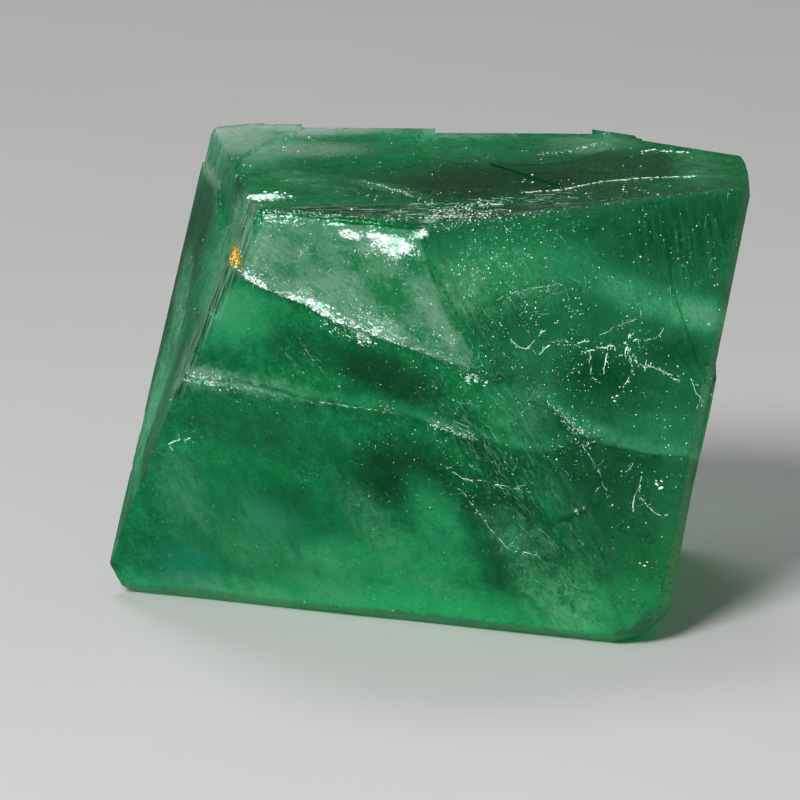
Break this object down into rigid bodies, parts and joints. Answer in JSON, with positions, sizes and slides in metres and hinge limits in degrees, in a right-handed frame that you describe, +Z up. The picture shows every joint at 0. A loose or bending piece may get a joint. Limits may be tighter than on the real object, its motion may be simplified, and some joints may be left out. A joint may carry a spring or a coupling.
{
  "type": "fluorite specimen",
  "caption": "Loose translucent green fluorite crystal, a blocky cleavage fragment with slanted flat faces that stands on its flat base.",
  "frame": {"origin": "centre of the bounding box of the crystal at the level of its flat base, on the surface that it rests on", "axes": "+Z up from the base; +X to the right as seen from the front; -Y towards the front, where the long ridge between the two front faces is"},
  "size_m": [0.0398, 0.0308, 0.0274],
  "materials": {
    "fluorite": "translucent emerald green crystal with flat glassy cleavage faces, milky veils and white crushed edges"
  },
  "bodies": {
    "root": {"fluorite_crystal": "fluorite"}
  },
  "joints": []
}
